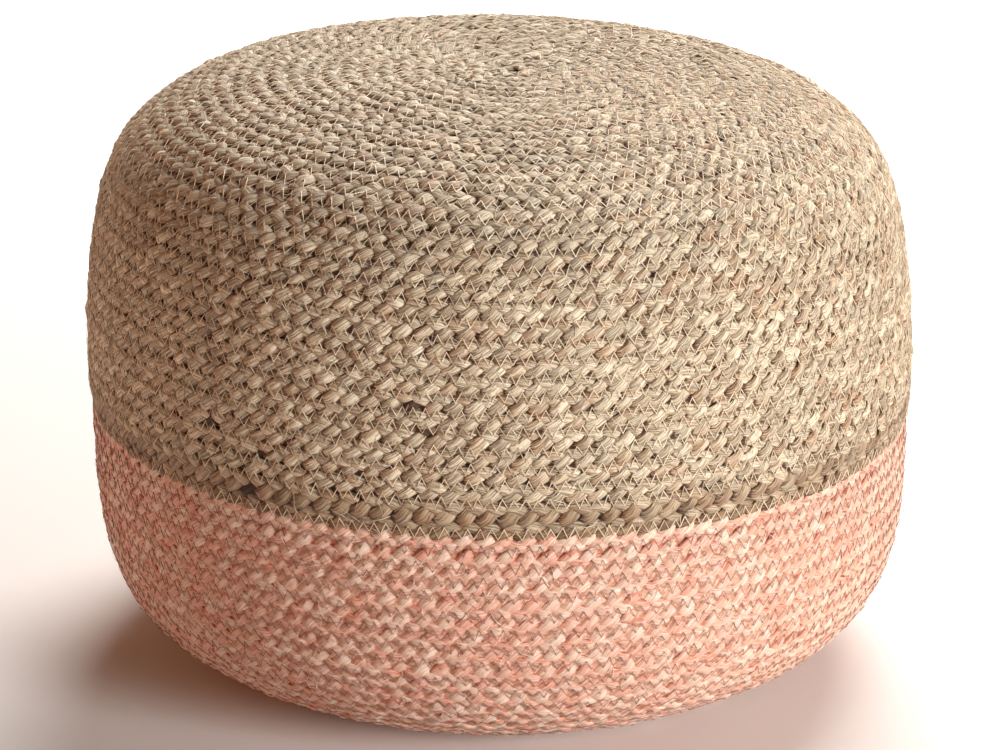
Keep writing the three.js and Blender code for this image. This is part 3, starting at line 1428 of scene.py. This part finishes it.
@dataclass(frozen=True)
class DyeGroup:
    """Shader group that colours a strand from its fibres and its place in the plait."""

    lobe_share: float = 0.62  # of a strand's lightness that its lobe decides
    tone_share: float = 0.42  # of it that its wandering tone decides
    paled: Ease = Ease(0.26, 0.84)  # from the lightness
    bleach_pull: float = -1.1  # of the bleach noise, added to the lobe's hue
    greyed: Ease = Ease(-0.34, -0.52, 0.0, 0.75)  # from the two together
    rust_pull: float = 2.6  # of the patch noise, added to the lobe's hue
    rusty: Ease = Ease(1.92, 2.3, 0.0, 0.85)  # from the two together
    based: Ease = Ease(0.35, 0.95)  # from how near the row's middle it is, where the natural braid gets a painted highlight on its blunt lobe ends
    # Darker fibres, partly their own colour and partly painted shade between them.
    dark_bundles: Ease = Ease(0.5, 0.36, 0.0, 0.75)
    dark_hairs: Ease = Ease(0.48, 0.37, 0.0, 0.75)
    split_share: float = 0.85  # how strongly a split is darkened with painted shade
    glint: Ease = Ease(0.53, 0.63, 0.0, 0.6)  # of the hairs that catch the light
    crest_paling: Ease = Ease(0.75, 1.0, 0.0, 0.25)  # paler where the strand stands out most
    shaded_creases: Ease = Ease(0.7, 0.42)  # painted shade on the strands' sides and where they dive into the creases
    # Grey tone and painted shade of the seam rows' lower lobes.
    grey_and_shade_share: float = 0.9
    grey_and_shade_tint: Colour = (0.42, 0.29, 0.19)
    # Painted shade of a sunk lobe in a hollow.
    hollow_shade_tint: Colour = (0.15, 0.1, 0.07)
    roughness: Ease = Ease(0.3, 0.7, 0.82, 0.55)  # from the hairs

    @cached_property
    def tree(self) -> bpy.types.NodeTree:
        """The group, made once."""
        masks = (*DRAWN, *(name.capitalize() for name in STORED), "Base Share")
        colours = (name.capitalize() for name in SHADES)
        kinds = {**dict.fromkeys(masks, "Float"), **dict.fromkeys(colours, "Color")}
        nodes, entry, leave = new_group("jute_dye", kinds, {"Colour": "Color", "Roughness": "Float"})
        tone = nodes.math("MULTIPLY", entry["Tone"], self.tone_share)
        lightness = nodes.math("MULTIPLY_ADD", entry["Lobe"], self.lobe_share, tone)
        greyed = nodes.math("MULTIPLY_ADD", entry["Bleach"], self.bleach_pull, entry["Hue"])
        rusty = nodes.math("MULTIPLY_ADD", entry["Patch"], self.rust_pull, entry["Hue"])
        based = nodes.math("MULTIPLY", nodes.span(entry["Inward"], self.based), entry["Base Share"])
        colour = nodes.mix(nodes.span(lightness, self.paled), entry["Plain"], entry["Pale"])
        # Columns: how strongly a layer shows, its colour, and how it is laid over the ones before.
        for factor, layer, blend in (
            (nodes.span(greyed, self.greyed), entry["Faded"], "MIX"),
            (nodes.span(rusty, self.rusty), entry["Stain"], "MIX"),
            # In the natural braid, a painted highlight on the lobes' blunt ends.
            (based, entry["Base"], "MIX"),
            # Darker fibres and painted shade between them and in their splits.
            (nodes.span(entry["Bundles"], self.dark_bundles), entry["Shade"], "MULTIPLY"),
            (nodes.span(entry["Hairs"], self.dark_hairs), entry["Shade"], "MULTIPLY"),
            (nodes.math("MULTIPLY", entry["Splits"], self.split_share), entry["Shade"], "MULTIPLY"),
            (nodes.span(entry["Hairs"], self.glint), entry["Pale"], "MIX"),
            (nodes.span(entry["Exposed"], self.crest_paling), entry["Pale"], "MIX"),
            # Painted shade in the creases.
            (nodes.span(entry["Exposed"], self.shaded_creases), entry["Crease"], "MULTIPLY"),
            # Grey tone and painted shade of the seam rows' lower lobes.
            (nodes.math("MULTIPLY", entry["Dusk"], self.grey_and_shade_share), self.grey_and_shade_tint, "MULTIPLY"),
            # Painted shade of the sunk lobes in hollows.
            (entry["Slack"], self.hollow_shade_tint, "MULTIPLY"),
        ):
            colour = nodes.mix(factor, colour, layer, blend)
        nodes.feed(leave["Colour"], colour)
        nodes.feed(leave["Roughness"], nodes.span(entry["Hairs"], self.roughness))
        return nodes.tree


def new_material(name: str, **values: float) -> tuple[bpy.types.Material, Nodes, bpy.types.Node]:
    """Starts a material.

    Args:
        name: Its name.
        **values: Numbers for its shader's inputs, by name, with underscores for spaces.

    Returns:
        The material, its nodes and its shader.
    """
    material = bpy.data.materials.new(name)
    material.use_nodes = True
    shader = material.node_tree.nodes["Principled BSDF"]
    for key, value in values.items():
        shader.inputs[key.replace("_", " ")].default_value = value
    return material, Nodes(material.node_tree), shader


@dataclass(frozen=True)
class JuteFinish:
    """Finish of a braided jute strand.

    Args:
        name: The material's name.
        plain: The strand's own colour.
        pale: Of bleached strands and of the fibres that catch the light.
        stain: Of darker, browner patches.
        faded: Of grey or greenish patches.
        base: Of the end of each lobe at the row's middle; the natural braid's pale one is a painted
            highlight on the blunt ends.
        base_share: How strongly that shows.
        crease: Painted shade that the colour is multiplied by on the sides of the strands and where they
            dive.
        shade: What it is multiplied by between the fibres and in their splits, partly their darker colour
            and partly painted shade.
    """

    name: str
    plain: Colour
    pale: Colour
    stain: Colour
    faded: Colour
    base: Colour
    base_share: float
    crease: Colour
    shade: Colour
    bump: float = 0.75 * MM
    bump_strength: float = 0.9
    gloss: float = 0.45
    sheen: float = 0.12
    sheen_roughness: float = 0.4

    def material(self, fibres: FibreGroup, dye: DyeGroup) -> bpy.types.Material:
        """Makes the material.

        Args:
            fibres: The group that draws the fibres.
            dye: The group that colours them.

        Returns:
            The material.
        """
        material, nodes, shader = new_material(
            self.name,
            Specular_IOR_Level=self.gloss,
            Sheen_Weight=self.sheen,
            Sheen_Roughness=self.sheen_roughness,
        )
        strand_map = nodes.add("ShaderNodeUVMap", uv_map=STRAND_MAP).outputs[0]
        drawn = nodes.group(fibres.tree, Map=strand_map, Strand=nodes.attribute("strand"))
        noises = {name: drawn.outputs[name] for name in DRAWN}
        places = {name.capitalize(): nodes.attribute(name) for name in STORED}
        colours = {name.capitalize(): getattr(self, name) for name in SHADES}
        dyed = nodes.group(dye.tree, **noises, **places, **colours, Base_Share=self.base_share)
        nodes.feed(shader.inputs["Base Color"], dyed.outputs["Colour"])
        nodes.feed(shader.inputs["Roughness"], dyed.outputs["Roughness"])
        bumped = nodes.bump(drawn.outputs["Height"], self.bump, self.bump_strength)
        nodes.feed(shader.inputs["Normal"], bumped)
        return material


@dataclass(frozen=True)
class ThreadFinish:
    """Finish of sewing thread or of loose fibres.

    Args:
        name: The material's name.
        dark: Its darkest colour.
        light: Its lightest colour.
    """

    name: str
    dark: Colour
    light: Colour
    roughness: float = 0.5
    gloss: float = 0.5

    def material(self) -> bpy.types.Material:
        """Makes the material.

        Returns:
            The material.
        """
        material, nodes, shader = new_material(
            self.name, Roughness=self.roughness, Specular_IOR_Level=self.gloss
        )
        nodes.feed(shader.inputs["Base Color"], nodes.mix(nodes.attribute("lobe"), self.dark, self.light))
        return material


@dataclass(frozen=True)
class GroundFinish:
    """Finish of the body beneath the braid, coloured as jute darkened with painted shade.

    Args:
        name: The material's name.
        dark: Its darkest colour.
        light: Its lightest colour.
    """

    name: str
    dark: Colour
    light: Colour
    roughness: float = 0.9
    grain_scale: float = 380.0
    grain_detail: float = 3.0
    grain: Ease = Ease(0.3, 0.7)
    bump: float = 0.4 * MM

    def material(self) -> bpy.types.Material:
        """Makes the material.

        Returns:
            The material.
        """
        material, nodes, shader = new_material(self.name, Roughness=self.roughness)
        place = nodes.add("ShaderNodeTexCoord").outputs["Object"]
        grain = nodes.noise(place, self.grain_scale, self.grain_detail)
        colour = nodes.mix(nodes.span(grain, self.grain), self.dark, self.light)
        nodes.feed(shader.inputs["Base Color"], colour)
        nodes.feed(shader.inputs["Normal"], nodes.bump(grain, self.bump))
        return material


@dataclass(frozen=True)
class SoftLight:
    """One soft light that faces the pouf.

    Args:
        name: Its name.
        place: Where it stands.
        size: Its width.
        power: Its power, in watts.
        tint: Its colour.
        spread: How widely its beam fans out, in degrees. A narrow one keeps a low light off the floor.
    """

    name: str
    place: tuple[float, float, float]
    size: float
    power: float
    tint: Colour
    spread: float = 180.0
    aim_height: float = 0.18  # of the place on the axis that it faces

    def build(self) -> None:
        """Makes the light."""
        bpy.ops.object.light_add(type="AREA", location=self.place)
        lamp = bpy.context.object
        lamp.name = self.name
        lamp.data.shape = "DISK"
        lamp.data.size = self.size
        lamp.data.energy = self.power
        lamp.data.color = self.tint
        lamp.data.spread = math.radians(self.spread)
        aim = Vector((0, 0, self.aim_height)) - Vector(self.place)
        lamp.rotation_euler = aim.to_track_quat("-Z", "Y").to_euler()


@dataclass(frozen=True)
class StudioStage:
    """Floor, lights and camera."""

    camera_distance: float = 2.25
    camera_elevation: float = math.radians(19.64)
    camera_roll: float = math.radians(0.479)
    camera_clip: tuple[float, float] = (0.05, 50)
    target_height: float = 168 * MM
    focal_px: float = 3657.7
    picture_px: float = 1000.0
    sensor: float = 36.0
    floor_size: float = 30
    floor_colour: Colour = (0.9, 0.87, 0.84)
    floor_roughness: float = 0.9
    floor_gloss: float = 0.1
    world_strength: float = 0.06
    world_tint: Colour = (1.0, 0.70, 0.46)
    lights: tuple[SoftLight, ...] = (
        SoftLight("key_light", (2.2, -1.96, 0.78), 1.2, 100, (0.99, 0.99, 1.0)),
        SoftLight("top_light", (0.6, 1.9, 2.2), 2.1, 130, (1.0, 0.97, 0.95)),
        SoftLight("rim_light", (-2.4, 1.6, 1.0), 1.6, 4, (1.0, 0.65, 0.35)),
        SoftLight("fill_light", (-2.5, -1.0, 0.38), 0.7, 1.1, (1.0, 0.37, 0.17), spread=60),
        SoftLight("bounce_light", (-1.3, -1.7, 0.31), 0.6, 0.124, (1.0, 0.45, 0.28), spread=60),
    )

    def camera(self) -> None:
        """Makes the camera at the photo's viewing angle."""
        bpy.ops.object.camera_add()
        camera = bpy.context.object
        raised, roll = self.camera_elevation, self.camera_roll
        back = Vector((0, -math.cos(raised), math.sin(raised)))
        right, up = Vector((1, 0, 0)), Vector((0, math.sin(raised), math.cos(raised)))
        turned_right = math.cos(roll) * right + math.sin(roll) * up
        turned_up = math.cos(roll) * up - math.sin(roll) * right
        turn = Matrix((turned_right, turned_up, back)).transposed().to_4x4()
        place = Vector((0, 0, self.target_height)) + back * self.camera_distance
        camera.matrix_world = Matrix.Translation(place) @ turn
        camera.data.sensor_width = self.sensor
        camera.data.lens = self.focal_px / self.picture_px * self.sensor
        camera.data.clip_start, camera.data.clip_end = self.camera_clip
        bpy.context.scene.camera = camera

    def floor(self) -> None:
        """Makes the plain pale floor."""
        bpy.ops.mesh.primitive_plane_add(size=self.floor_size, location=(0, 0, 0))
        floor = bpy.context.object
        floor.name = "floor"
        material, nodes, shader = new_material(
            "pale_floor", Roughness=self.floor_roughness, Specular_IOR_Level=self.floor_gloss
        )
        nodes.feed(shader.inputs["Base Color"], self.floor_colour)
        floor.data.materials.append(material)

    def build(self) -> None:
        """Sets up everything round the pouf."""
        bpy.ops.object.select_all(action="DESELECT")
        self.floor()
        for light in self.lights:
            light.build()
        world = bpy.data.worlds.new("studio")
        world.use_nodes = True
        background = world.node_tree.nodes["Background"]
        background.inputs["Color"].default_value = (*self.world_tint, 1)
        background.inputs["Strength"].default_value = self.world_strength
        bpy.context.scene.world = world
        bpy.context.scene.view_settings.view_transform = "Standard"
        self.camera()


@dataclass
class Pouf:
    """The whole pouf: bodies, braid, thread and loose fibres.

    Args:
        form: Its stuffed form.
    """

    form: StuffedForm
    fibres: FibreGroup = FibreGroup()
    dye: DyeGroup = DyeGroup()
    jute: dict[Dye, JuteFinish] = field(
        default_factory=lambda: {
            Dye.NATURAL: JuteFinish(
                "natural_jute",
                plain=(0.34, 0.225, 0.123),
                pale=(0.85, 0.72, 0.52),
                stain=(0.46, 0.24, 0.11),
                faded=(0.54, 0.47, 0.34),
                # Pale lobe ends at the row's middle are a painted highlight.
                base=(0.84, 0.72, 0.54),
                base_share=0.4,
                crease=(0.24, 0.145, 0.085),
                shade=(0.34, 0.235, 0.145),
            ),
            Dye.CORAL: JuteFinish(
                "coral_jute",
                plain=(0.77, 0.42, 0.30),
                pale=(0.83, 0.63, 0.50),
                stain=(0.78, 0.32, 0.22),
                faded=(0.90, 0.70, 0.54),
                base=(0.66, 0.34, 0.19),
                base_share=0.35,
                crease=(0.74, 0.46, 0.36),
                shade=(0.84, 0.61, 0.52),
                bump=0.5 * MM,
            ),
        }
    )
    thread: dict[Dye, ThreadFinish] = field(
        default_factory=lambda: {
            Dye.NATURAL: ThreadFinish("natural_thread", (0.74, 0.56, 0.37), (0.93, 0.76, 0.55)),
            Dye.CORAL: ThreadFinish("coral_thread", (0.26, 0.11, 0.07), (0.52, 0.27, 0.19)),
        }
    )
    loose: dict[Dye, ThreadFinish] = field(
        default_factory=lambda: {
            Dye.NATURAL: ThreadFinish("natural_fibre", (0.28, 0.16, 0.08), (0.98, 0.86, 0.66)),
            Dye.CORAL: ThreadFinish("coral_fibre", (0.52, 0.18, 0.11), (0.99, 0.83, 0.67)),
        }
    )
    # Ground colours: jute darkened with painted shade, for the gaps between the strands.
    ground: dict[Dye, GroundFinish] = field(
        default_factory=lambda: {
            Dye.NATURAL: GroundFinish("natural_ground", (0.14, 0.09, 0.05), (0.50, 0.36, 0.22)),
            Dye.CORAL: GroundFinish("coral_ground", (0.50, 0.24, 0.15), (0.84, 0.50, 0.36)),
        }
    )

    # How far each body lies below the form; the dyed one is stuffed fuller, so its creases are shallow.
    inset: dict[Dye, float] = field(default_factory=lambda: {Dye.NATURAL: 2.4 * MM, Dye.CORAL: 1.8 * MM})
    seam_gap: float = 0.3 * MM  # from the seam to each body
    pole_gap: float = 0.5 * MM  # from the crown's and the base's middle to a body's end ring
    crown_start: float = -0.35  # turns, so that the strands' ends close the coil's middle
    crown_end: int = 19
    shoulder_end: int = 29
    coral_turns: int = 10  # in each of the first two coral pieces
    base_end: float = 0.62  # turns before the last row's end at which the coral braid stops
    thread_radius: float = 0.27 * MM
    thin_share: float = 0.75  # of that radius, in the coral rows
    bare_base: float = 150 * MM  # from the base's centre, where the pouf stands and no fibre shows
    # Columns: how many loose fibres each dye has, and what chooses their places.
    fibre_counts: dict[Dye, tuple[int, int]] = field(
        default_factory=lambda: {Dye.NATURAL: (3200, 7), Dye.CORAL: (2900, 5)}
    )

    @cached_property
    def coil(self) -> Coil:
        """The rows."""
        return Coil(self.form)

    @property
    def spans(self) -> dict[Dye, tuple[float, float]]:
        """Distances from the coil's middle where each bowl starts and ends."""
        seam, end = self.form.seam_distance, self.form.length - self.pole_gap
        return {Dye.NATURAL: (self.pole_gap, seam - self.seam_gap), Dye.CORAL: (seam + self.seam_gap, end)}

    def stretches(self) -> list[BraidStretch]:
        """The braid's pieces, from the crown to the base.

        Returns:
            The stretches.
        """
        natural = self.coil.natural_rows
        wall, foot = natural + self.coral_turns, natural + 2 * self.coral_turns
        return [
            BraidStretch("natural_crown_braid", Dye.NATURAL, self.crown_start, self.crown_end),
            BraidStretch("natural_shoulder_braid", Dye.NATURAL, self.crown_end, self.shoulder_end),
            BraidStretch("natural_wall_braid", Dye.NATURAL, self.shoulder_end, natural),
            BraidStretch("coral_wall_braid", Dye.CORAL, natural, wall),
            BraidStretch("coral_foot_braid", Dye.CORAL, wall, foot),
            BraidStretch("coral_base_braid", Dye.CORAL, foot, self.coil.rows - self.base_end),
        ]

    def settle(self, piece: bpy.types.Object, dye: Dye, material: bpy.types.Material) -> None:
        """Gives a finished piece its material and body, hides the imported bowl that it stands in for, and
        reports it.

        Args:
            piece: The piece.
            dye: The bowl that it belongs to.
            material: Its material.
        """
        piece.data.materials.append(material)
        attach(piece, ROOT_BODY)
        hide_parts(dye.node)
        sizes = np.empty(len(piece.data.polygons), dtype=np.int32)
        piece.data.polygons.foreach_get("loop_total", sizes)
        LOG.info("%s: %d triangles", piece.name, int((sizes - 2).sum()))

    def stuff(self) -> None:
        """Makes the two stuffed bodies."""
        for dye, (first, last) in self.spans.items():
            body = Filling(f"{dye.value}_body", self.form, first, last, self.inset[dye]).build()
            self.settle(body, dye, self.ground[dye].material())

    def braid(self, materials: dict[Dye, bpy.types.Material]) -> Surface:
        """Makes the braid.

        Args:
            materials: The material of each dye's strands.

        Returns:
            Its surface.
        """
        braider = Braider(self.coil)
        braids = []
        for stretch in self.stretches():
            piece = braider.plait(stretch)
            self.settle(piece, stretch.dye, materials[stretch.dye])
            braids.append(piece)
        return Surface.of(self.form, braids)

    def sew(self, surface: Surface) -> None:
        """Sews the rows together.

        Args:
            surface: The braid's surface.
        """
        natural, rows = self.coil.natural_rows, self.coil.rows
        materials = {dye: finish.material() for dye, finish in self.thread.items()}
        for name, dye, first, last, share in (
            ("natural_thread", Dye.NATURAL, 1.0, natural - 1, 1.0),
            ("seam_thread", Dye.NATURAL, natural, natural + 1, 1.0),
            ("coral_thread", Dye.CORAL, natural + 1, rows - 1, self.thin_share),
        ):
            zigzag = ZigzagThread(name, self.coil, first, last, self.thread_radius * share)
            self.settle(zigzag.sew(surface), dye, materials[dye])

    def fray(self, surface: Surface) -> None:
        """Scatters the loose fibres.

        Args:
            surface: The braid's surface.
        """
        materials = {dye: finish.material() for dye, finish in self.loose.items()}
        spans = self.spans
        spans[Dye.CORAL] = (spans[Dye.CORAL][0], self.form.length - self.bare_base)
        for dye, (count, seed) in self.fibre_counts.items():
            fibres = LooseFibres(f"{dye.value}_fibres", self.form, *spans[dye], count, seed)
            self.settle(fibres.scatter(surface), dye, materials[dye])

    def build(self) -> None:
        """Makes every piece."""
        materials = {dye: finish.material(self.fibres, self.dye) for dye, finish in self.jute.items()}
        self.stuff()
        surface = self.braid(materials)
        self.sew(surface)
        self.fray(surface)


def main() -> None:
    """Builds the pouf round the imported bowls."""
    logging.basicConfig(level=logging.INFO, format="%(name)s: %(message)s")
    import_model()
    seam_height = (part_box(Dye.NATURAL.node)[0][2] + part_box(Dye.CORAL.node)[1][2]) / 2
    Pouf(StuffedForm(width=0.5, height=0.366, seam_height=float(seam_height))).build()
    StudioStage().build()


if __name__ == "__main__":
    main()
